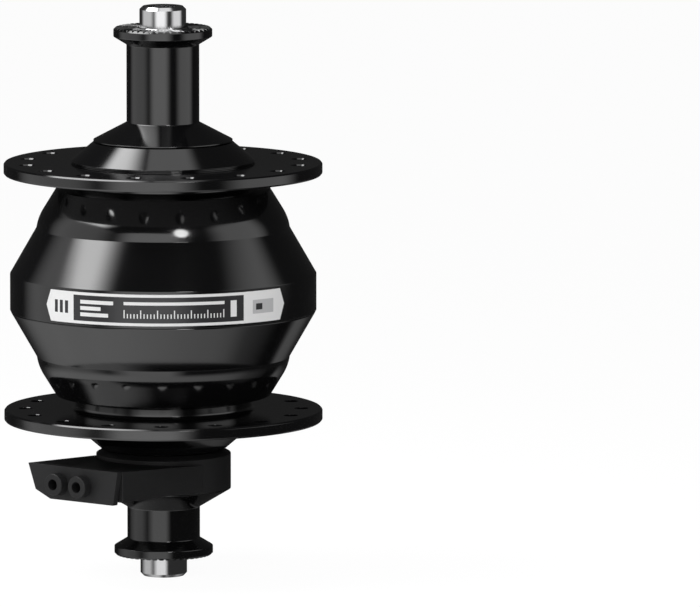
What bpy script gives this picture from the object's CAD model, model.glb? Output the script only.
"""Looks of a bicycle hub dynamo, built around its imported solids.

The turned shell and end caps, the moulded connector and plug and the printed label are modelled
again here with rounded edges, and every other solid keeps its shape and gets its finish."""

import math

import bmesh
import bpy
from mathutils import Matrix, Quaternion, Vector


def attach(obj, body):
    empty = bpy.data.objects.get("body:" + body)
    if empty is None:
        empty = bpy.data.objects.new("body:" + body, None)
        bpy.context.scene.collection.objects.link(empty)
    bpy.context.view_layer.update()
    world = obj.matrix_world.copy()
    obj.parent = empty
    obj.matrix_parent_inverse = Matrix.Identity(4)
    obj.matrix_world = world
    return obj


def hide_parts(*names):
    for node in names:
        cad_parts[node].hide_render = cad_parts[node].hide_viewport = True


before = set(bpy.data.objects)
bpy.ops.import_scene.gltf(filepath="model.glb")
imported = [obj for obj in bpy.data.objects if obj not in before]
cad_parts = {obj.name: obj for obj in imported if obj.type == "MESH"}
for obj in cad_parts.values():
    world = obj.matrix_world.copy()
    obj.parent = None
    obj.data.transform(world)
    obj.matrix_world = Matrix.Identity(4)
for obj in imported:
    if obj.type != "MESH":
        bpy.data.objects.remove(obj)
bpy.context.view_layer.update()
scene = bpy.context.scene
scene.view_settings.view_transform = "Standard"

# Sizes of the pieces, in millimetres
MM = 0.001
BAND_R = 28.85
BAND_Z = 3.45
WAIST_R = 23.85
WAIST_Z = 12.15
SHOULDER_R = 8.8
SHOULDER_LEANS = (8.0, 31.5)
SHOULDER_EDGE = (20.19, 19.5)
FLANGE_NECK = (16.6, 20.2)
FLANGE_FILLET = 0.9
HOLLOW_END = ((13.5, 19.6), (15.8, 18.2))
FLANGE_R = 30.0
FLANGE_IN = 22.25
FLANGE_OUT = 24.45
FLANGE_BEVEL = (0.25, 0.3)
BOSS_ROOT_R = 17.5
BOSS_GROOVE = (0.6, 0.3)
UPPER_BOSS = (13.1, 28.4)
LOWER_BOSS = (11.8, 29.6)
BEARING_R = 12.02
BEARING_Z = (20.8, 26.8)
BEARING_LIP_R = 11.05
RING_GROOVE_R = 12.6
RING_GROOVE_W = 0.54
RING_OFFSET = 0.25
WEB_Z = 19.6
CAVITY_R = 21.69
IRON_SEAT = (25.13, 7.02)
COUNTERBORE = (27.05, -0.93)
SPIGOT = (27.03, 0.95)
SEAL_GROOVE = (26.27, 1.7, 2.7)
SPOKE_CIRCLE_R = 26.0
SPOKE_COUNT = 16
SPOKE_HOLE_R = 1.3
SPOKE_SINK_R = 1.55
SPOKE_EDGE = 0.1
CAP_BORE_R = 5.02
CAP_FACE = 50.0
CAP_RIM_R = 9.3
CAP_RIM_Z = 48.3
CAP_EDGE = 0.4
NECK_R = 6.85
FLARE_Z = 46.8
UPPER_SKIRT = (13.1, 28.6, 32.1)
LOWER_SKIRT = (12.7, 37.1, 40.8)
SKIRT_LIP = 0.2
RACE_STEP = (7.6, 26.8)
GROOVE_COUNT = 45
GROOVE_W = 0.55
GROOVE_DEPTH = 0.3
AXLE_HALF = 54.0
SKEWER_R = 2.6
COLLAR_R = 12.7
COLLAR_Z = (-29.85, -37.1)
COLLAR_BEVEL = (1.37, 0.8)
TONGUE_TURN = math.radians(231.5)
TONGUE_U = 24.85
TIP_U = 26.25
NEAR_W = 10.35
FAR_W = 11.35
NEAR_LEAN = math.radians(10)
FAR_LEAN = math.radians(20)
ROOT_INSET = 0.2
TONGUE_SLOPE = math.radians(2.5)
TONGUE_TOP = -30.7
TONGUE_BOTTOM = -36.6
PLATE_BOTTOM = -37.1
PLATE_BACK = 24.95
TIP_BEVEL = (3.0, 1.3)
PLUG_Z = -34.06
PLUG_BODY = (14.65, 12.6, 3.0)
SOCKET = (13.34, 13.0, 3.4)
LEAD_PASSAGE = (2.4, 1.8)
TUBE_PLACES = (-3.75, 1.95)
TUBE_R = 2.1
TUBE_L = 2.0
TUBE_ROOT = 0.8
TUBE_EDGE = 0.3
WIRE_HOLE_R = 1.05
WIRE_STOP_U = 21.25
LABEL_R = (28.87, 28.97)
LABEL_HALF_H = 2.95
LABEL_SPAN = math.radians(100)
LABEL_POINT = 1.2
LABEL_TURN = math.radians(-88)

# Fineness of the pieces, the small radii of their edges and the blanks' spare length in millimetres
TURN_STEPS = 384
CAP_STEPS = 16 * GROOVE_COUNT
ARC_STEPS = 5
SHOULDER_STEPS = 12
HOLE_CELLS = 6
HOLE_HALF_CELLS = 5
SPOKE_SPACING_CELLS = TURN_STEPS / SPOKE_COUNT
HOLE_PATCH = 4.2
HOLE_START = 0.05
TUBE_STEPS = 64
LABEL_STEPS = 120
EDGE_STEPS = 3
SPARE = 1.0
FLAT = 1e-3
CRISP = 0.1
SOFT = 0.22
ROOT = 0.25
SHARP_ANGLE = math.radians(28)


def rounded(corners):
    """The points of a closed outline of (x, y, radius) corners, with an arc at each corner."""
    points = []
    for i, (x, y, radius) in enumerate(corners):
        here = Vector((x, y))
        if not radius:
            points.append(here)
            continue
        back = (Vector(corners[i - 1][:2]) - here).normalized()
        ahead = (Vector(corners[(i + 1) % len(corners)][:2]) - here).normalized()
        half = back.angle(ahead) / 2
        middle = here + (back + ahead).normalized() * (radius / math.sin(half))
        arm = here + back * (radius / math.tan(half)) - middle
        turn = math.copysign(math.pi - 2 * half, -back.cross(ahead))
        points += [middle + Matrix.Rotation(turn * k / ARC_STEPS, 2) @ arm for k in range(ARC_STEPS + 1)]
    return points


def turned(points, steps=TURN_STEPS):
    """A closed outline of (radius, height) points spun round the axle."""
    mesh = bmesh.new()
    corners = [mesh.verts.new((r * MM, 0, z * MM)) for r, z in points]
    outline = [mesh.edges.new(pair) for pair in zip(corners, corners[1:] + corners[:1])]
    bmesh.ops.spin(mesh, geom=corners + outline, axis=(0, 0, 1), cent=(0, 0, 0), angle=2 * math.pi,
                   steps=steps, use_merge=True)
    bmesh.ops.recalc_face_normals(mesh, faces=mesh.faces)
    return mesh


def flipped(points):
    """The points of an outline with their heights turned upside down."""
    return [(r, -z) for r, z in points]


def scaled(mesh, factor):
    """Scales a mesh about the origin."""
    bmesh.ops.scale(mesh, vec=(factor, factor, factor), verts=mesh.verts)
    return mesh


def combined(body, tool, operation):
    """The union or the difference of two closed meshes, worked out at one unit to the millimetre."""
    blanks = []
    for mesh in (body, tool):
        data = bpy.data.meshes.new("blank")
        scaled(mesh, 1 / MM)
        mesh.to_mesh(data)
        mesh.free()
        blanks.append(bpy.data.objects.new("blank", data))
        scene.collection.objects.link(blanks[-1])
    joint = blanks[0].modifiers.new("joint", "BOOLEAN")
    joint.object = blanks[1]
    joint.operation = operation
    joint.solver = "EXACT"
    result = bmesh.new()
    result.from_object(blanks[0], bpy.context.evaluated_depsgraph_get())
    for blank in blanks:
        bpy.data.objects.remove(blank)
    return scaled(result, MM)


def block(low, high):
    """A straight block between two corners in millimetres."""
    low, high = Vector(low) * MM, Vector(high) * MM
    mesh = bmesh.new()
    bmesh.ops.create_cube(mesh, size=1)
    bmesh.ops.scale(mesh, vec=high - low, verts=mesh.verts)
    bmesh.ops.translate(mesh, vec=(low + high) / 2, verts=mesh.verts)
    return mesh


def rounded_edges(mesh, radius, edges=None):
    """Rounds the edges of a mesh, all of them unless some are given."""
    bmesh.ops.bevel(mesh, geom=list(edges or mesh.edges), offset=radius * MM, offset_type="OFFSET",
                    segments=EDGE_STEPS, profile=0.5, affect="EDGES", material=-1, clamp_overlap=True)


def shaded(mesh, name):
    """A mesh of smooth faces whose normals follow the larger faces at a rounded edge.

    The normals are weighted at 1 unit to the millimetre, because much smaller faces would get no weight.
    """
    data = bpy.data.meshes.new("blank")
    scaled(mesh, 1 / MM).to_mesh(data)
    mesh.free()
    data.shade_smooth()
    data.set_sharp_from_angle(angle=SHARP_ANGLE)
    blank = bpy.data.objects.new("blank", data)
    scene.collection.objects.link(blank)
    blank.modifiers.new("even_normals", "WEIGHTED_NORMAL").keep_sharp = True
    drawn = bpy.data.meshes.new_from_object(blank.evaluated_get(bpy.context.evaluated_depsgraph_get()))
    bpy.data.objects.remove(blank)
    drawn.transform(Matrix.Scale(MM, 4))
    drawn.name = name
    return drawn


def piece(name, mesh, body, slot, finish, *nodes):
    """Makes a finished mesh a piece that rides on a body and stands for its nodes."""
    data = shaded(mesh, name)
    data.materials.append(finish)
    made = bpy.data.objects.new(name, data)
    scene.collection.objects.link(made)
    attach(made, body)
    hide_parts(*nodes)
    return made


# Shell: cones, round shoulders, drilled flanges and bosses

def shoulder():
    """The round shoulder from the waist to where it runs straight to its edge."""
    first, last = (math.radians(lean) for lean in SHOULDER_LEANS)
    middle = Vector((WAIST_R - SHOULDER_R * math.cos(first), WAIST_Z - SHOULDER_R * math.sin(first)))
    leans = [first + (last - first) * k / SHOULDER_STEPS for k in range(1, SHOULDER_STEPS + 1)]
    return [(middle.x + SHOULDER_R * math.cos(a), middle.y + SHOULDER_R * math.sin(a), 0) for a in leans]


def flange_cells(z):
    """Points on a flange's face that lay out the patches of the spoke holes."""
    start = SPOKE_CIRCLE_R - HOLE_PATCH / 2
    return [(start + HOLE_PATCH * k / HOLE_CELLS, z, 0) for k in range(HOLE_CELLS + 1)]


def outer_corners(boss):
    """The corners of half a shell's outside, from the band to the end of the boss."""
    bevel_r, bevel_h = FLANGE_BEVEL
    groove_deep, groove_h = BOSS_GROOVE
    return [
        (BAND_R, BAND_Z, SOFT),
        (WAIST_R, WAIST_Z, CRISP),
        *shoulder(),
        (*SHOULDER_EDGE, SOFT),
        (*FLANGE_NECK, ROOT),
        (FLANGE_NECK[0], FLANGE_IN, FLANGE_FILLET),
        *flange_cells(FLANGE_IN),
        (FLANGE_R - bevel_r, FLANGE_IN, CRISP),
        (FLANGE_R, FLANGE_IN + bevel_h, CRISP),
        (FLANGE_R, FLANGE_OUT - bevel_h, CRISP),
        (FLANGE_R - bevel_r, FLANGE_OUT, CRISP),
        *reversed(flange_cells(FLANGE_OUT)),
        (BOSS_ROOT_R - groove_deep, FLANGE_OUT, CRISP),
        (BOSS_ROOT_R - groove_deep, FLANGE_OUT + groove_h, CRISP),
        (BOSS_ROOT_R, FLANGE_OUT + groove_h, CRISP),
        (*boss, SOFT),
    ]


def hollow_corners():
    """The corners of half a shell's hollow, from the web to the seat of the magnet ring."""
    return [
        *[(*corner, SOFT) for corner in HOLLOW_END],
        (CAVITY_R, WAIST_Z, SOFT),
        (CAVITY_R, IRON_SEAT[1], 0),
        (*IRON_SEAT, 0),
    ]


def ring_groove_corners(z):
    """The corners of a retaining ring's groove, met from above."""
    half = RING_GROOVE_W / 2
    return [
        (BEARING_R, z + half, 0),
        (RING_GROOVE_R, z + half, 0),
        (RING_GROOVE_R, z - half, 0),
        (BEARING_R, z - half, 0),
    ]


def shell_outline():
    """The upper half: band, cone, shoulder, flange, boss, bearing seat and counterbore."""
    return rounded([
        (BAND_R, -BAND_Z, CRISP),
        *outer_corners(UPPER_BOSS),
        (BEARING_R, UPPER_BOSS[1], CRISP),
        *ring_groove_corners(BEARING_Z[1] + RING_OFFSET),
        (BEARING_R, BEARING_Z[0], 0),
        (BEARING_LIP_R, BEARING_Z[0], 0),
        (BEARING_LIP_R, WEB_Z, CRISP),
        *hollow_corners(),
        (IRON_SEAT[0], COUNTERBORE[1], 0),
        (*COUNTERBORE, 0),
        (COUNTERBORE[0], -BAND_Z, CRISP),
    ])


def cover_outline():
    """The lower half, drawn upwards: spigot with its seal groove, cone, shoulder, flange and boss."""
    return rounded([
        (*SPIGOT, CRISP),
        (SPIGOT[0], SEAL_GROOVE[1], 0),
        (SEAL_GROOVE[0], SEAL_GROOVE[1], 0),
        (SEAL_GROOVE[0], SEAL_GROOVE[2], 0),
        (SPIGOT[0], SEAL_GROOVE[2], 0),
        (SPIGOT[0], BAND_Z, 0),
        *outer_corners(LOWER_BOSS),
        (BEARING_LIP_R, LOWER_BOSS[1], CRISP),
        (BEARING_LIP_R, BEARING_Z[1], 0),
        (BEARING_R, BEARING_Z[1], 0),
        *ring_groove_corners(BEARING_Z[0] - RING_OFFSET),
        (BEARING_R, WEB_Z, CRISP),
        *hollow_corners(),
        (IRON_SEAT[0], SPIGOT[1], CRISP),
    ])


def hole_patches(mesh, first_turn, z):
    """The cells round each spoke hole on one face of a flange."""
    pitch = 2 * math.pi / SPOKE_COUNT
    patches = [[] for _ in range(SPOKE_COUNT)]
    for face in mesh.faces:
        spot = face.calc_center_median() / MM
        if abs(spot.z - z) > FLAT or abs(spot.xy.length - SPOKE_CIRCLE_R) > HOLE_PATCH / 2:
            continue
        place = (math.atan2(spot.y, spot.x) - first_turn) / pitch
        if abs(place - round(place)) * SPOKE_SPACING_CELLS < HOLE_HALF_CELLS:
            patches[round(place) % SPOKE_COUNT].append(face)
    return patches


def turn_from(centre, point):
    """The direction from a hole's middle to a point, as a turn round the hole."""
    return math.atan2(point.y - centre.y, point.x - centre.x)


def opened(mesh, cells, centre, turn):
    """Takes cells out of a face and gives the corners of the opening, in their order round its middle."""
    inside = set(cells)
    rim = [edge for edge in {edge for face in cells for edge in face.edges}
           if len(inside.intersection(edge.link_faces)) == 1]
    corners = {vert for edge in rim for vert in edge.verts}
    bmesh.ops.delete(mesh, geom=cells, context="FACES")
    start = turn + HOLE_START
    return sorted(corners, key=lambda vert: (turn_from(centre, vert.co) - start) % (2 * math.pi))


def drilled(mesh, first_turn, side):
    """Drills the countersunk spoke holes of a flange on one side of the hub."""
    sink = SPOKE_SINK_R - SPOKE_HOLE_R
    rings = ((FLANGE_OUT, SPOKE_SINK_R), (FLANGE_OUT - sink, SPOKE_HOLE_R),
             (FLANGE_IN + SPOKE_EDGE, SPOKE_HOLE_R), (FLANGE_IN, SPOKE_HOLE_R + SPOKE_EDGE))
    outer = hole_patches(mesh, first_turn, side * FLANGE_OUT)
    inner = hole_patches(mesh, first_turn, side * FLANGE_IN)
    for i in range(SPOKE_COUNT):
        turn = first_turn + i * 2 * math.pi / SPOKE_COUNT
        centre = Vector((math.cos(turn), math.sin(turn), 0)) * SPOKE_CIRCLE_R * MM
        first = opened(mesh, outer[i], centre, turn)
        last = opened(mesh, inner[i], centre, turn)
        turns = [turn_from(centre, vert.co) for vert in first]
        loops = [first]
        for height, radius in rings:
            loops.append([mesh.verts.new((centre.x + radius * MM * math.cos(a),
                                          centre.y + radius * MM * math.sin(a), side * height * MM))
                          for a in turns])
        loops.append(last)
        for upper, lower in zip(loops, loops[1:]):
            for k in range(len(upper)):
                mesh.faces.new((upper[k - 1], upper[k], lower[k], lower[k - 1]))
    bmesh.ops.recalc_face_normals(mesh, faces=mesh.faces)
    return mesh


# End caps

def cap_outline(seat, skirt):
    """An end cap that looks upwards: seat, skirt, neck, flare, rim and face."""
    skirt_r, skirt_z, neck_z = skirt
    face_r = CAP_RIM_R - CAP_EDGE
    cells = 8
    edge_cells = 4
    return rounded([
        *seat,
        (skirt_r, skirt_z, CRISP / 2),
        (skirt_r, skirt_z + SKIRT_LIP, CRISP / 2),
        (NECK_R, neck_z, ROOT),
        (NECK_R, FLARE_Z, ROOT),
        (CAP_RIM_R, CAP_RIM_Z, SOFT),
        (CAP_RIM_R, CAP_FACE - CAP_EDGE, 0),
        *[(CAP_RIM_R - CAP_EDGE * k / edge_cells, CAP_FACE - CAP_EDGE * (1 - k / edge_cells), 0)
          for k in range(1, edge_cells)],
        *[(face_r + (CAP_BORE_R - face_r) * k / cells, CAP_FACE, 0) for k in range(cells)],
        (CAP_BORE_R, CAP_FACE, CRISP),
    ])


def serrated(mesh):
    """Presses the radial grooves into the face of a cap that looks upwards."""
    step = 2 * math.pi / GROOVE_COUNT
    for vert in mesh.verts:
        radius = Vector(vert.co.xy).length / MM
        angle = math.atan2(vert.co.y, vert.co.x)
        aside = abs(radius * math.sin(angle - round(angle / step) * step))
        floor = CAP_FACE - GROOVE_DEPTH * (1 - aside / (GROOVE_W / 2))
        if floor < CAP_FACE:
            vert.co.z = min(vert.co.z, max(floor, CAP_FACE - GROOVE_DEPTH) * MM)
    return mesh


def end_cap(seat, skirt):
    """A serrated end cap that looks upwards."""
    return serrated(turned(cap_outline(seat, skirt), CAP_STEPS))


def turned_over(mesh):
    """A mesh mirrored to the other end of the axle."""
    bmesh.ops.scale(mesh, vec=(1, 1, -1), verts=mesh.verts)
    bmesh.ops.reverse_faces(mesh, faces=mesh.faces)
    return mesh


# Connector: measured along the tongue (u), across it (v) and along the axle

def in_tongue_place(mesh):
    """Turns a mesh from the tongue's own directions to its place round the axle."""
    bmesh.ops.rotate(mesh, verts=mesh.verts, cent=(0, 0, 0), matrix=Matrix.Rotation(TONGUE_TURN, 3, "Z"))
    return mesh


def trimmed(mesh, point, outward):
    """Cuts off what lies outside a plane and closes the cut."""
    geometry = [*mesh.verts, *mesh.edges, *mesh.faces]
    cut = bmesh.ops.bisect_plane(mesh, geom=geometry, plane_co=Vector(point) * MM, plane_no=outward,
                                 clear_outer=True)
    edges = [item for item in cut["geom_cut"] if isinstance(item, bmesh.types.BMEdge)]
    bmesh.ops.edgeloop_fill(mesh, edges=edges)
    return mesh


def beyond_side(width, lean):
    """The outward direction of a side of the tongue that ends at a given width and leans."""
    root_r = COLLAR_R - ROOT_INSET
    turn = math.atan2(width, TIP_U) + math.acos(root_r / math.hypot(TIP_U, width))
    side_turn = math.atan2(width - root_r * math.sin(turn), TIP_U - root_r * math.cos(turn))
    flat = Vector((-math.sin(side_turn), math.cos(side_turn), 0))
    return flat * math.cos(lean) - Vector((0, 0, math.sin(lean)))


def tongue_form(u0, u1, bottom, near_lean):
    """The tongue's outer form between two stations, down to a given height, with its near side's lean."""
    mesh = block((u0, -COLLAR_R * 2, bottom), (u1, COLLAR_R * 2, TONGUE_TOP + SPARE))
    trimmed(mesh, (TIP_U, NEAR_W, TONGUE_TOP), beyond_side(NEAR_W, near_lean))
    trimmed(mesh, (TIP_U, -FAR_W, TONGUE_TOP), beyond_side(FAR_W, FAR_LEAN) * Vector((1, -1, 1)))
    trimmed(mesh, (TIP_U, 0, TONGUE_TOP), (-math.sin(TONGUE_SLOPE), 0, math.cos(TONGUE_SLOPE)))
    low_v = -FAR_W + (TONGUE_TOP - PLATE_BOTTOM) * math.tan(FAR_LEAN)
    bevel_w, bevel_h = TIP_BEVEL
    trimmed(mesh, (0, low_v, PLATE_BOTTOM + bevel_h), (0, -bevel_h, -bevel_w))
    bmesh.ops.recalc_face_normals(mesh, faces=mesh.faces)
    return mesh


def along_u(u0, u1, v, radius, rim=0.0):
    """A round bar along the tongue at the plug's height, its outer rim rounded."""
    middle = Vector(((u0 + u1) / 2, v, PLUG_Z)) * MM
    place = Matrix.Translation(middle) @ Matrix.Rotation(math.pi / 2, 4, "Y")
    mesh = bmesh.new()
    bmesh.ops.create_cone(mesh, cap_ends=True, segments=TUBE_STEPS, radius1=radius * MM,
                          radius2=radius * MM, depth=(u1 - u0) * MM, matrix=place)
    if rim:
        outer = [edge for edge in mesh.edges if all(vert.co.x > (u1 - rim) * MM for vert in edge.verts)]
        rounded_edges(mesh, rim, outer)
    return mesh


def plug_block(u0, u1, width, height):
    """A block along the tongue at the plug's height."""
    return block((u0, -width / 2, PLUG_Z - height / 2), (u1, width / 2, PLUG_Z + height / 2))


def connector_housing():
    """The moulded collar with its tongue, socket and lead passage.

    The bore is turned half a step, so that its corners don't lie on the edges of the collar's faces.
    """
    collar_steps = TURN_STEPS // 2
    top, bottom = COLLAR_Z
    bevel_r, bevel_h = COLLAR_BEVEL
    collar = turned(rounded([
        (SKEWER_R, bottom, 0),
        (COLLAR_R, bottom, CRISP),
        (COLLAR_R, top - bevel_h, SOFT),
        (COLLAR_R - bevel_r, top, SOFT),
        (SKEWER_R, top, 0),
    ]), collar_steps)
    tongue = tongue_form(SKEWER_R, TONGUE_U, TONGUE_BOTTOM, 0)
    rounded_edges(tongue, CRISP)
    made = combined(collar, in_tongue_place(tongue), "UNION")
    half_step = math.pi / collar_steps
    place = Matrix.Translation((0, 0, (top + bottom) / 2 * MM)) @ Matrix.Rotation(half_step, 4, "Z")
    bore = bmesh.new()
    bmesh.ops.create_cone(bore, cap_ends=True, segments=collar_steps, radius1=CAP_BORE_R * MM,
                          radius2=CAP_BORE_R * MM, depth=2 * (top - bottom) * MM, matrix=place)
    made = combined(made, bore, "DIFFERENCE")
    passage = plug_block(0, SOCKET[0] + SPARE, *LEAD_PASSAGE)
    made = combined(made, in_tongue_place(passage), "DIFFERENCE")
    socket = plug_block(SOCKET[0], TIP_U, *SOCKET[1:])
    return combined(made, in_tongue_place(socket), "DIFFERENCE")


def wire_plug():
    """The pull-off plug: plate, body and two wire tubes."""
    made = tongue_form(PLATE_BACK, TIP_U, PLATE_BOTTOM, NEAR_LEAN)
    rounded_edges(made, CRISP)
    body = plug_block(PLUG_BODY[0], (PLATE_BACK + TIP_U) / 2, *PLUG_BODY[1:])
    rounded_edges(body, CRISP)
    made = combined(made, body, "UNION")
    for v in TUBE_PLACES:
        made = combined(made, along_u(TIP_U - TUBE_ROOT, TIP_U + TUBE_L, v, TUBE_R, TUBE_EDGE), "UNION")
    for v in TUBE_PLACES:
        made = combined(made, along_u(WIRE_STOP_U, TIP_U + TUBE_L + SPARE, v, WIRE_HOLE_R), "DIFFERENCE")
    return in_tongue_place(made)


# Label: a thin strip round the band with pointed ends and a plain print

def label_strip():
    """The label's film, with a map that runs along it and up it."""
    mesh = bmesh.new()
    inner, outer = LABEL_R
    corners = [(inner, -LABEL_HALF_H), (outer, -LABEL_HALF_H), (outer, LABEL_HALF_H), (inner, LABEL_HALF_H)]
    verts = [mesh.verts.new((r * MM, 0, z * MM)) for r, z in corners]
    section = mesh.faces.new(verts)
    start = Matrix.Rotation(LABEL_TURN - LABEL_SPAN / 2, 3, "Z")
    bmesh.ops.rotate(mesh, verts=mesh.verts, cent=(0, 0, 0), matrix=start)
    bmesh.ops.spin(mesh, geom=[section], axis=(0, 0, 1), cent=(0, 0, 0), angle=LABEL_SPAN,
                   steps=LABEL_STEPS)
    bmesh.ops.recalc_face_normals(mesh, faces=mesh.faces)
    for side in (1, -1):
        end = LABEL_TURN + side * LABEL_SPAN / 2
        tip = Vector((math.cos(end), math.sin(end), 0)) * LABEL_R[1] * MM
        outward = Vector((-math.sin(end), math.cos(end), 0)) * side * LABEL_HALF_H
        for up in (1, -1):
            trimmed(mesh, tip / MM, outward + Vector((0, 0, up * LABEL_POINT)))
    film = mesh.loops.layers.uv.new("film")
    for face in mesh.faces:
        for loop in face.loops:
            turn = math.atan2(loop.vert.co.y, loop.vert.co.x) - LABEL_TURN
            loop[film].uv = (turn / LABEL_SPAN + 0.5, loop.vert.co.z / MM / (2 * LABEL_HALF_H) + 0.5)
    return mesh


# Finishes, with the heights of their fine marks in millimetres

MARK_HEIGHT = 0.01
GRAIN_HEIGHT = 0.03


def effect(name, inputs, outputs):
    """An empty shader node group with named inputs and outputs."""
    made = bpy.data.node_groups.new(name, "ShaderNodeTree")
    for socket, value in inputs.items():
        kind = "NodeSocketVector" if value is None else "NodeSocketFloat"
        made_socket = made.interface.new_socket(socket, in_out="INPUT", socket_type=kind)
        if value is not None:
            made_socket.default_value = value
    for socket in outputs:
        made.interface.new_socket(socket, in_out="OUTPUT", socket_type="NodeSocketFloat")
    return made, made.nodes.new("NodeGroupInput"), made.nodes.new("NodeGroupOutput")


def maths(tree, operation, first, second=None, third=None):
    """A Math node whose inputs are sockets or plain numbers; gives its output."""
    node = tree.nodes.new("ShaderNodeMath")
    node.operation = operation
    for socket, value in zip(node.inputs, (first, second, third)):
        if isinstance(value, bpy.types.NodeSocket):
            tree.links.new(value, socket)
        elif value is not None:
            socket.default_value = value
    return node.outputs[0]


def turning_marks():
    """Fine lathe marks: rings that follow the distance from the axle and the height along it."""
    group, given, result = effect("turning_marks", {"Fineness": 9000.0}, ("Height",))
    spot = group.nodes.new("ShaderNodeTexCoord")
    split = group.nodes.new("ShaderNodeSeparateXYZ")
    group.links.new(spot.outputs["Object"], split.inputs[0])
    squares = [maths(group, "MULTIPLY", split.outputs[i], split.outputs[i]) for i in (0, 1)]
    radius = maths(group, "SQRT", maths(group, "ADD", *squares))
    radius_share = 1.37
    path = maths(group, "ADD", maths(group, "MULTIPLY", radius, radius_share), split.outputs[2])
    rings = group.nodes.new("ShaderNodeTexNoise")
    rings.noise_dimensions = "1D"
    rings.inputs["Detail"].default_value = 2
    group.links.new(maths(group, "MULTIPLY", path, given.outputs["Fineness"]), rings.inputs["W"])
    rings.inputs["Scale"].default_value = 1
    group.links.new(rings.outputs[0], result.inputs["Height"])
    return group


def cloudy():
    """A slow change between two values over the surface, as of handling and film thickness."""
    group, given, result = effect("cloudy", {"Scale": 60.0, "Low": 0.1, "High": 0.2}, ("Value",))
    spot = group.nodes.new("ShaderNodeTexCoord")
    noise = group.nodes.new("ShaderNodeTexNoise")
    noise.inputs["Detail"].default_value = 4
    group.links.new(spot.outputs["Object"], noise.inputs["Vector"])
    group.links.new(given.outputs["Scale"], noise.inputs["Scale"])
    spread = group.nodes.new("ShaderNodeMapRange")
    spread.inputs["From Min"].default_value = 0.3
    spread.inputs["From Max"].default_value = 0.7
    group.links.new(noise.outputs[0], spread.inputs["Value"])
    group.links.new(given.outputs["Low"], spread.inputs["To Min"])
    group.links.new(given.outputs["High"], spread.inputs["To Max"])
    group.links.new(spread.outputs[0], result.inputs["Value"])
    return group


def moulded_grain():
    """The fine even grain of a spark-eroded mould."""
    group, given, result = effect("moulded_grain", {"Scale": 6000.0}, ("Height",))
    spot = group.nodes.new("ShaderNodeTexCoord")
    noise = group.nodes.new("ShaderNodeTexNoise")
    noise.inputs["Detail"].default_value = 3
    noise.inputs["Roughness"].default_value = 0.6
    group.links.new(spot.outputs["Object"], noise.inputs["Vector"])
    group.links.new(given.outputs["Scale"], noise.inputs["Scale"])
    group.links.new(noise.outputs[0], result.inputs["Height"])
    return group


def print_field():
    """A printed rectangle on the label: 1 inside its limits and 0 outside."""
    group, given, result = effect("print_field", {"Map": None, "Left": 0.0, "Right": 1.0, "Low": 0.0,
                                                  "High": 1.0}, ("Mask",))
    split = group.nodes.new("ShaderNodeSeparateXYZ")
    group.links.new(given.outputs["Map"], split.inputs[0])
    mask = None
    for axis, low, high in ((0, "Left", "Right"), (1, "Low", "High")):
        after = maths(group, "GREATER_THAN", split.outputs[axis], given.outputs[low])
        before = maths(group, "LESS_THAN", split.outputs[axis], given.outputs[high])
        inside = maths(group, "MULTIPLY", after, before)
        mask = inside if mask is None else maths(group, "MULTIPLY", mask, inside)
    group.links.new(mask, result.inputs["Mask"])
    return group


EFFECTS = {"turning_marks": turning_marks(), "cloudy": cloudy(), "moulded_grain": moulded_grain(),
           "print_field": print_field()}


def placed(material, effect_name, **values):
    """One of the effects in a material, with its own values; gives the node."""
    node = material.node_tree.nodes.new("ShaderNodeGroup")
    node.node_tree = EFFECTS[effect_name]
    for socket, value in values.items():
        node.inputs[socket].default_value = value
    return node


def bumped(material, height, strength, distance):
    """Lets a height raise the surface of a material's shader."""
    tree = material.node_tree
    bump = tree.nodes.new("ShaderNodeBump")
    bump.inputs["Strength"].default_value = strength
    bump.inputs["Distance"].default_value = distance * MM
    tree.links.new(height, bump.inputs["Height"])
    tree.links.new(bump.outputs[0], tree.nodes["Principled BSDF"].inputs["Normal"])


def finish(name, colour, roughness, metallic=0.0, cloud=60.0, ior=1.5):
    """A material of one colour whose gloss changes slowly between two roughnesses."""
    material = bpy.data.materials.new(name)
    material.use_nodes = True
    tree = material.node_tree
    shader = tree.nodes["Principled BSDF"]
    shader.inputs["Base Color"].default_value = (*colour, 1)
    shader.inputs["Metallic"].default_value = metallic
    shader.inputs["IOR"].default_value = ior
    gloss = placed(material, "cloudy", Scale=cloud, Low=roughness[0], High=roughness[1])
    tree.links.new(gloss.outputs[0], shader.inputs["Roughness"])
    return material


def lathe_finish(name, colour, roughness, metallic, fineness, strength, ior=1.5):
    """A turned surface: a plain finish with fine rings in it."""
    material = finish(name, colour, roughness, metallic, ior=ior)
    rings = placed(material, "turning_marks", Fineness=fineness)
    bumped(material, rings.outputs[0], strength, MARK_HEIGHT)
    return material


def moulded_finish(name, colour, roughness, scale, strength, metallic=0.0):
    """A moulded or stamped surface with a fine grain."""
    material = finish(name, colour, roughness, metallic)
    grain = placed(material, "moulded_grain", Scale=scale)
    bumped(material, grain.outputs[0], strength, GRAIN_HEIGHT)
    return material


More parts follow.
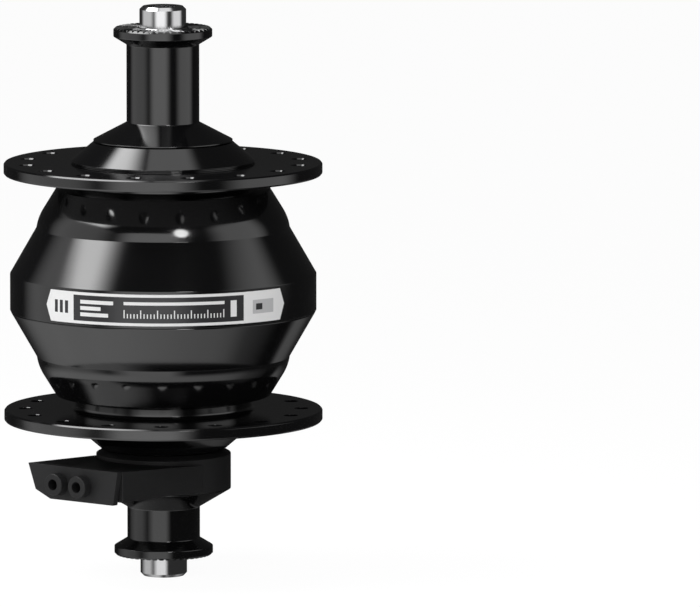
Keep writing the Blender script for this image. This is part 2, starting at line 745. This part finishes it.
def label_finish():
    """Printed film: a white strip with a dark field, a pale end panel, plain bars and a row of ticks.

    The places of the print are shares of the film's length and height.
    """
    material = finish("label_film", (0.86, 0.86, 0.86), (0.16, 0.22))
    tree = material.node_tree
    film = tree.nodes.new("ShaderNodeUVMap")
    film.uv_map = "film"
    colour = None
    white, grey, dark = (0.86, 0.86, 0.86, 1), (0.55, 0.55, 0.56, 1), (0.035, 0.035, 0.037, 1)
    bar_w, bar_places = 0.015, (0.045, 0.07, 0.095)
    tick_count, tick_start, tick_pitch, tick_w = 31, 0.34, 0.0125, 0.004
    tick_foot, tick_top, long_top, long_every = 0.24, 0.38, 0.5, 5
    ticks = []
    for k in range(tick_count):
        left = tick_start + tick_pitch * k
        ticks.append((left, left + tick_w, tick_foot, tick_top if k % long_every else long_top))
    fields = [
        (dark, 0.135, 0.80, 0.09, 0.91),
        (white, 0.165, 0.30, 0.64, 0.76),
        (white, 0.165, 0.25, 0.44, 0.56),
        (white, 0.165, 0.28, 0.24, 0.36),
        (white, 0.34, 0.72, 0.66, 0.76),
        (white, 0.745, 0.77, 0.24, 0.76),
        *[(white, *tick) for tick in ticks],
        *[(dark, left, left + bar_w, 0.3, 0.7) for left in bar_places],
        (grey, 0.84, 0.94, 0.28, 0.72),
        (dark, 0.855, 0.885, 0.4, 0.6),
    ]
    for paint, left, right, low, high in fields:
        mask = placed(material, "print_field", Left=left, Right=right, Low=low, High=high)
        tree.links.new(film.outputs[0], mask.inputs["Map"])
        layer = tree.nodes.new("ShaderNodeMix")
        layer.data_type = "RGBA"
        layer.inputs[6].default_value = white
        if colour is not None:
            tree.links.new(colour, layer.inputs[6])
        layer.inputs[7].default_value = paint
        tree.links.new(mask.outputs[0], layer.inputs[0])
        colour = layer.outputs[2]
    tree.links.new(colour, tree.nodes["Principled BSDF"].inputs["Base Color"])
    return material


FINISHES = {
    "black_anodised": lathe_finish("black_anodised", (0.003, 0.003, 0.0033), (0.09, 0.13), 0.0, 9000, 0.05,
                                   ior=1.85),
    "axle_steel": lathe_finish("axle_steel", (0.88, 0.88, 0.89), (0.1, 0.16), 1.0, 7000, 0.1),
    "connector_plastic": moulded_finish("connector_plastic", (0.012, 0.012, 0.0125), (0.44, 0.54), 5000,
                                        0.25),
    "contact_brass": lathe_finish("contact_brass", (0.76, 0.58, 0.27), (0.2, 0.3), 1.0, 3000, 0.1),
    "lead_copper": finish("lead_copper", (0.6, 0.28, 0.12), (0.25, 0.35), 1.0),
    "winding_copper": lathe_finish("winding_copper", (0.56, 0.25, 0.1), (0.3, 0.4), 1.0, 2500, 0.8),
    "plain_steel": lathe_finish("plain_steel", (0.55, 0.55, 0.57), (0.28, 0.38), 1.0, 4000, 0.2),
    "soft_iron": moulded_finish("soft_iron", (0.2, 0.2, 0.21), (0.38, 0.5), 2500, 0.3, 0.8),
    "bearing_steel": lathe_finish("bearing_steel", (0.7, 0.7, 0.71), (0.12, 0.2), 1.0, 8000, 0.1),
    "plated_magnet": finish("plated_magnet", (0.62, 0.6, 0.56), (0.2, 0.32), 1.0),
    "bobbin_nylon": moulded_finish("bobbin_nylon", (0.78, 0.72, 0.58), (0.45, 0.55), 3000, 0.2),
    "cage_nylon": moulded_finish("cage_nylon", (0.04, 0.075, 0.05), (0.45, 0.55), 3000, 0.2),
    "seal_rubber": moulded_finish("seal_rubber", (0.018, 0.018, 0.018), (0.5, 0.62), 3000, 0.3),
    "label_film": label_finish(),
}


def make_pieces():
    """Models the pieces that show and stands them for their nodes."""
    black = FINISHES["black_anodised"]
    front = -math.pi / 2
    half_space = math.pi / SPOKE_COUNT
    piece("shell_upper_half", drilled(turned(shell_outline()), front + half_space, 1), "shell",
          "black_anodised", black, "hub_shell")
    piece("shell_lower_half", drilled(turned(flipped(cover_outline())), front, -1), "shell",
          "black_anodised", black, "flange_cover")
    upper_seat = [(CAP_BORE_R, RACE_STEP[1], CRISP), (*RACE_STEP, CRISP), (RACE_STEP[0], UPPER_SKIRT[1], 0)]
    piece("end_cap_upper", end_cap(upper_seat, UPPER_SKIRT), "axle_set", "black_anodised", black,
          "upper_end_cap")
    lower_seat = [(CAP_BORE_R, LOWER_SKIRT[1], CRISP)]
    lower_cap = turned_over(end_cap(lower_seat, LOWER_SKIRT))
    piece("end_cap_lower", lower_cap, "axle_set", "black_anodised", black, "lower_end_cap")
    plastic = FINISHES["connector_plastic"]
    piece("connector_collar", connector_housing(), "axle_set", "connector_plastic", plastic,
          "connector_housing")
    piece("plug_moulding", wire_plug(), "plug", "connector_plastic", plastic, "wire_plug")
    piece("label_strip", label_strip(), "shell", "label_film", FINISHES["label_film"], "rating_label")


def dress_solids():
    """Gives every solid that still shows the finish of its slot."""
    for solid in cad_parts.values():
        for slot in solid.material_slots:
            slot.material = FINISHES[slot.material.name.split(".")[0]]


# Studio: camera, lamps, dark surround, floor and white background

PHOTO_W = 700
PHOTO_H = 607
PX_PER_MM = 5.31
HUB_PX = (163.27, 291.1)
CAMERA_RISE = math.radians(7.3)
CAMERA_FAR = 2.5
CAMERA_REACH = 20.0
SENSOR_MM = 36.0
STAGE_STEPS = 96
FLOOR_Z = -AXLE_HALF * MM
FLOOR_R = 6.0
FLOOR_PAPER = 0.6
FLOOR_GLOW = 1.12
FLOOR_LIFT = 0.85
SOFT_LIGHT = 0.22
SURROUND_R = 0.6
TENT_LEVEL = 0.025
STRIPS_TOP = -0.175
TABLE_EDGE = (-0.4, -0.52)
TABLE_LEAN = -0.15
STRIP_LEVELS = [(-136, TENT_LEVEL), (-100, 0.47), (-72, 0.47), (-52, 0.12), (-31, 0.78), (7, 0.78),
                (23, TENT_LEVEL)]
TABLE_LEVELS = [(-165, 0.04), (-149, 0.14), (-133, 0.46), (-112, 0.71), (-75, 0.86), (-50, 0.86), (0, 0.75),
                (64, 0.55), (77, 0.44), (92, 0.19), (120, 0.01), (133, 0.01), (140, 0.28), (165, 0.03)]


def make_camera():
    """A long lens in front of the hub, a little above it, framed as the photograph is."""
    data = bpy.data.cameras.new("camera")
    data.sensor_width = SENSOR_MM
    data.lens = SENSOR_MM * CAMERA_FAR / (PHOTO_W / PX_PER_MM * MM)
    data.clip_end = CAMERA_REACH
    camera = bpy.data.objects.new("camera", data)
    scene.collection.objects.link(camera)
    back = Vector((0, -math.cos(CAMERA_RISE), math.sin(CAMERA_RISE)))
    up = Vector((0, math.sin(CAMERA_RISE), math.cos(CAMERA_RISE)))
    right_px = PHOTO_W / 2 - HUB_PX[0]
    down_px = PHOTO_H / 2 - HUB_PX[1]
    target = (Vector((1, 0, 0)) * right_px - up * down_px) / PX_PER_MM * MM
    camera.location = target + back * CAMERA_FAR
    camera.rotation_euler = (-back).to_track_quat("-Z", "Y").to_euler()
    scene.camera = camera


def softbox(name, middle, size, radiance, aim, fades=(0, 0, 0, 0), turn=0.0):
    """A rectangular lamp that looks at a point, with the share of its size over which each edge fades.

    The edges are the left, right, bottom and top one, and turn turns the lamp in its own plane.
    """
    data = bpy.data.lights.new(name, "AREA")
    data.shape = "RECTANGLE"
    data.size, data.size_y = size
    data.energy = radiance * math.pi * size[0] * size[1]
    data.use_nodes = True
    tree = data.node_tree
    spot = tree.nodes.new("ShaderNodeNewGeometry")
    split = tree.nodes.new("ShaderNodeSeparateXYZ")
    tree.links.new(spot.outputs["Parametric"], split.inputs[0])
    across, up = split.outputs["X"], split.outputs["Y"]
    places = (across, maths(tree, "SUBTRACT", 1, across), up, maths(tree, "SUBTRACT", 1, up))
    strength = 1.0
    for place, fade in zip(places, fades):
        if fade:
            ramp = tree.nodes.new("ShaderNodeMapRange")
            ramp.interpolation_type = "SMOOTHSTEP"
            ramp.inputs["From Max"].default_value = fade
            tree.links.new(place, ramp.inputs["Value"])
            strength = maths(tree, "MULTIPLY", ramp.outputs[0], strength)
    if any(fades):
        tree.links.new(strength, tree.nodes["Emission"].inputs["Strength"])
    lamp = bpy.data.objects.new(name, data)
    scene.collection.objects.link(lamp)
    lamp.location = middle
    look = (Vector(aim) - Vector(middle)).to_track_quat("-Z", "Y")
    lamp.rotation_euler = (look @ Quaternion((0, 0, 1), turn)).to_euler()
    lamp.visible_camera = False
    return lamp


def strip_lamp(name, first_deg, last_deg, bottom, top, radiance, low_fade=0.0, high_fade=0.0):
    """An upright lamp between two directions round the hub and two heights."""
    distance = 0.2
    side_fade = 0.34
    middle_turn = math.radians((first_deg + last_deg) / 2)
    width = 2 * distance * math.tan(math.radians(last_deg - first_deg) / 2)
    z = (bottom + top) / 2
    middle = (distance * math.sin(middle_turn), -distance * math.cos(middle_turn), z)
    return softbox(name, middle, (width, top - bottom), radiance, (0, 0, z),
                   (side_fade, side_fade, low_fade, high_fade))


def make_lamps():
    """Three upright strips, a large key above and left, a weak top panel and a small bright lamp."""
    strip_lamp("left_strip", -126, -40, FLOOR_Z, 0.14, 0.51)
    strip_lamp("front_strip", -47, 28, FLOOR_Z, 0.12, 0.97)
    strip_lamp("right_strip", 38, 111, -0.03, 0.21, 0.68, 0.13, 0.3)
    key_z = 0.22
    softbox("key_panel", (-0.178, -0.034, key_z), (0.293, 0.274), 4.9, (-0.178, -0.034, 0),
            (0.18, 0.16, 0.31, 0.22), math.radians(12.7))
    softbox("top_panel", (0.004, -0.025, key_z), (0.168, 0.18), 0.75, (0.004, -0.025, 0),
            (0.2, 0.2, 0.1, 0.1))
    spot_turn, spot_rise, spot_far = math.radians(17.6), math.radians(30.5), 0.25
    spot = Vector((math.sin(spot_turn) * math.cos(spot_rise), -math.cos(spot_turn) * math.cos(spot_rise),
                   math.sin(spot_rise))) * spot_far
    lamp = softbox("small_lamp", spot, (0.05, 0.08), 7, (0, 0, 0))
    lamp.data.shape = "ELLIPSE"


def seen_directly(tree):
    """A mask of camera, glossy and transmission rays."""
    path = tree.nodes.new("ShaderNodeLightPath")
    either = maths(tree, "MAXIMUM", path.outputs["Is Camera Ray"], path.outputs["Is Glossy Ray"])
    return maths(tree, "MAXIMUM", either, path.outputs["Is Transmission Ray"])


def mixed(tree, share, first, second):
    """Mixes two shaders and gives the result."""
    node = tree.nodes.new("ShaderNodeMixShader")
    for socket, value in zip(node.inputs, (share, first, second)):
        tree.links.new(value, socket)
    return node.outputs[0]


def make_floor():
    """A pale floor that shows white and keeps a soft shadow."""
    mesh = bmesh.new()
    bmesh.ops.create_circle(mesh, cap_ends=True, segments=STAGE_STEPS, radius=FLOOR_R,
                            matrix=Matrix.Translation((0, 0, FLOOR_Z)))
    data = bpy.data.meshes.new("floor")
    mesh.to_mesh(data)
    mesh.free()
    material = bpy.data.materials.new("floor_paper")
    material.use_nodes = True
    tree = material.node_tree
    tree.nodes.remove(tree.nodes["Principled BSDF"])
    paper = tree.nodes.new("ShaderNodeBsdfDiffuse")
    paper.inputs["Color"].default_value = (FLOOR_PAPER, FLOOR_PAPER, FLOOR_PAPER, 1)
    white = tree.nodes.new("ShaderNodeEmission")
    white.inputs["Strength"].default_value = FLOOR_GLOW
    lift = maths(tree, "MULTIPLY", seen_directly(tree), FLOOR_LIFT)
    shown = mixed(tree, lift, paper.outputs[0], white.outputs[0])
    tree.links.new(shown, tree.nodes["Material Output"].inputs["Surface"])
    data.materials.append(material)
    floor = bpy.data.objects.new("floor", data)
    scene.collection.objects.link(floor)
    floor.visible_glossy = False


def direction(tree):
    """The turn of a spot round the axle, from 0 to 1 and 0.5 in front, and its places along Y and Z."""
    spot = tree.nodes.new("ShaderNodeTexCoord")
    split = tree.nodes.new("ShaderNodeSeparateXYZ")
    tree.links.new(spot.outputs["Object"], split.inputs[0])
    turn = maths(tree, "ARCTAN2", split.outputs["X"], maths(tree, "MULTIPLY", split.outputs["Y"], -1))
    return maths(tree, "MULTIPLY_ADD", turn, 0.5 / math.pi, 0.5), split.outputs["Y"], split.outputs["Z"]


def pattern(tree, turn, levels):
    """Brightness round the hub, given as (degrees from the front, brightness) pairs."""
    ramp = tree.nodes.new("ShaderNodeValToRGB")
    stops = ramp.color_ramp.elements
    while len(stops) < len(levels):
        stops.new(0.5)
    for stop, (degrees, level) in zip(stops, levels):
        stop.position = degrees / 360 + 0.5
        stop.color = (level, level, level, 1)
    tree.links.new(turn, ramp.inputs[0])
    return ramp.outputs[0]


def make_surround():
    """A dark tent that only glossy surfaces see, with the strips going on below the floor's height."""
    mesh = bmesh.new()
    bmesh.ops.create_uvsphere(mesh, u_segments=STAGE_STEPS, v_segments=STAGE_STEPS // 2, radius=SURROUND_R)
    data = bpy.data.meshes.new("surround")
    mesh.to_mesh(data)
    mesh.free()
    data.shade_smooth()
    material = bpy.data.materials.new("tent_cloth")
    material.use_nodes = True
    tree = material.node_tree
    tree.nodes.remove(tree.nodes["Principled BSDF"])
    turn, back, height = direction(tree)
    strips = pattern(tree, turn, STRIP_LEVELS)
    table = pattern(tree, turn, TABLE_LEVELS)
    lower = tree.nodes.new("ShaderNodeMix")
    lower.data_type = "RGBA"
    reach = tree.nodes.new("ShaderNodeMapRange")
    reach.inputs["From Min"].default_value = SURROUND_R * TABLE_EDGE[0]
    reach.inputs["From Max"].default_value = SURROUND_R * TABLE_EDGE[1]
    tree.links.new(maths(tree, "MULTIPLY_ADD", back, TABLE_LEAN, height), reach.inputs["Value"])
    tree.links.new(reach.outputs[0], lower.inputs[0])
    tree.links.new(strips, lower.inputs[6])
    tree.links.new(table, lower.inputs[7])
    cloth = tree.nodes.new("ShaderNodeMix")
    cloth.data_type = "RGBA"
    below = maths(tree, "LESS_THAN", height, SURROUND_R * STRIPS_TOP)
    tree.links.new(below, cloth.inputs[0])
    cloth.inputs[6].default_value = (TENT_LEVEL, TENT_LEVEL, TENT_LEVEL, 1)
    tree.links.new(lower.outputs[2], cloth.inputs[7])
    glow = tree.nodes.new("ShaderNodeEmission")
    tree.links.new(cloth.outputs[2], glow.inputs["Color"])
    tree.links.new(glow.outputs[0], tree.nodes["Material Output"].inputs["Surface"])
    data.materials.append(material)
    surround = bpy.data.objects.new("surround", data)
    scene.collection.objects.link(surround)
    for ray in ("camera", "diffuse", "transmission", "volume_scatter", "shadow"):
        setattr(surround, "visible_" + ray, False)


def make_world():
    """White where it is seen, and a soft even light on the object."""
    world = bpy.data.worlds.new("studio")
    world.use_nodes = True
    scene.world = world
    tree = world.node_tree
    soft = tree.nodes["Background"]
    soft.inputs["Color"].default_value = (1, 1, 1, 1)
    soft.inputs["Strength"].default_value = SOFT_LIGHT
    white = tree.nodes.new("ShaderNodeBackground")
    white.inputs["Color"].default_value = (1, 1, 1, 1)
    shown = mixed(tree, seen_directly(tree), soft.outputs[0], white.outputs[0])
    tree.links.new(shown, tree.nodes["World Output"].inputs["Surface"])


make_camera()
make_pieces()
dress_solids()
make_lamps()
make_floor()
make_surround()
make_world()
